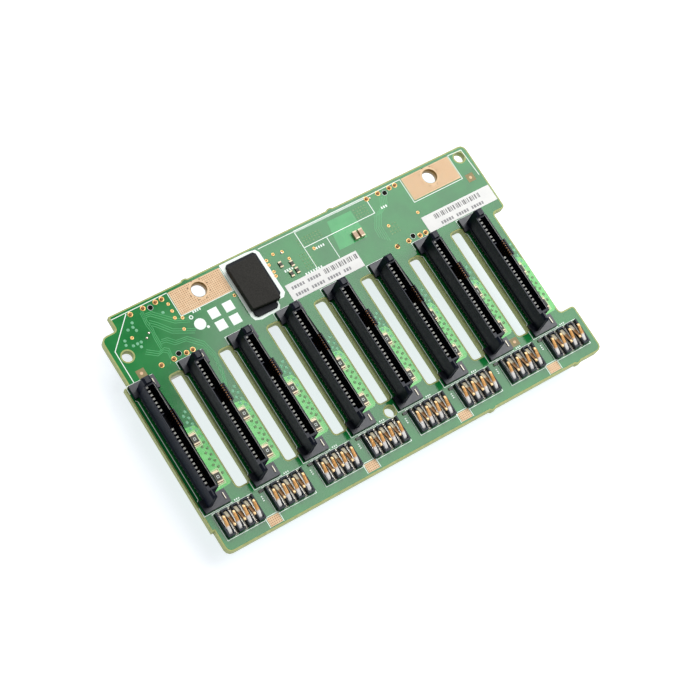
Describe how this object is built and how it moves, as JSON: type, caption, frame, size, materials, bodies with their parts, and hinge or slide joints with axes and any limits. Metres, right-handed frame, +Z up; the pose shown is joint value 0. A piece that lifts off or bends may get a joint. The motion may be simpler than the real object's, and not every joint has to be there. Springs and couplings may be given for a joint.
{
  "type": "drive backplane board",
  "caption": "Flat circuit board with a row of upright drive sockets, spring contact blocks in front of them, and cable and power sockets underneath.",
  "frame": {"origin": "under the middle of the board's outline, at the height of the underside connectors' lowest faces", "axes": "+X along the row of drives, +Y from the spring contacts towards the screw holes, +Z up, the way the drive sockets point"},
  "size_m": [0.1346, 0.0776, 0.0217],
  "materials": {
    "board": "solder mask gloss",
    "black_moulding": "satin",
    "slate_moulding": "satin",
    "gold_plate": "bright plated",
    "tin_plate": "bright tin",
    "bare_copper": "satin copper",
    "liner_film": "satin film",
    "foam": "matt foam",
    "label_paper": "coated paper",
    "ceramic_chip": "glazed",
    "lamp_body": "gloss",
    "capacitor_body": "satin"
  },
  "bodies": {
    "root": {"circuit_board": "board", "drive_connector_1": "black_moulding", "drive_connector_2": "black_moulding", "drive_connector_3": "black_moulding", "drive_connector_4": "black_moulding", "drive_connector_5": "black_moulding", "drive_connector_6": "black_moulding", "drive_connector_7": "black_moulding", "drive_connector_8": "black_moulding", "drive_contacts_1": "gold_plate", "drive_contacts_2": "gold_plate", "drive_contacts_3": "gold_plate", "drive_contacts_4": "gold_plate", "drive_contacts_5": "gold_plate", "drive_contacts_6": "gold_plate", "drive_contacts_7": "gold_plate", "drive_contacts_8": "gold_plate", "spring_block_1": "slate_moulding", "spring_block_2": "slate_moulding", "spring_block_3": "slate_moulding", "spring_block_4": "slate_moulding", "spring_block_5": "slate_moulding", "spring_block_6": "slate_moulding", "spring_block_7": "slate_moulding", "spring_block_8": "slate_moulding", "spring_contacts_1": "gold_plate", "spring_contacts_2": "gold_plate", "spring_contacts_3": "gold_plate", "spring_contacts_4": "gold_plate", "spring_contacts_5": "gold_plate", "spring_contacts_6": "gold_plate", "spring_contacts_7": "gold_plate", "spring_contacts_8": "gold_plate", "solder_tabs": "tin_plate", "pad_liner": "liner_film", "foam_pad": "foam", "screw_lands": "bare_copper", "left_label": "label_paper", "right_label": "label_paper", "left_cable_cage": "tin_plate", "right_cable_cage": "tin_plate", "left_cable_insert": "black_moulding", "right_cable_insert": "black_moulding", "left_cable_contacts": "gold_plate", "right_cable_contacts": "gold_plate", "power_header": "black_moulding", "power_pins": "tin_plate", "resistor_networks": "ceramic_chip", "status_lamps": "lamp_body", "capacitors": "capacitor_body", "chip_resistors": "ceramic_chip"}
  },
  "joints": []
}
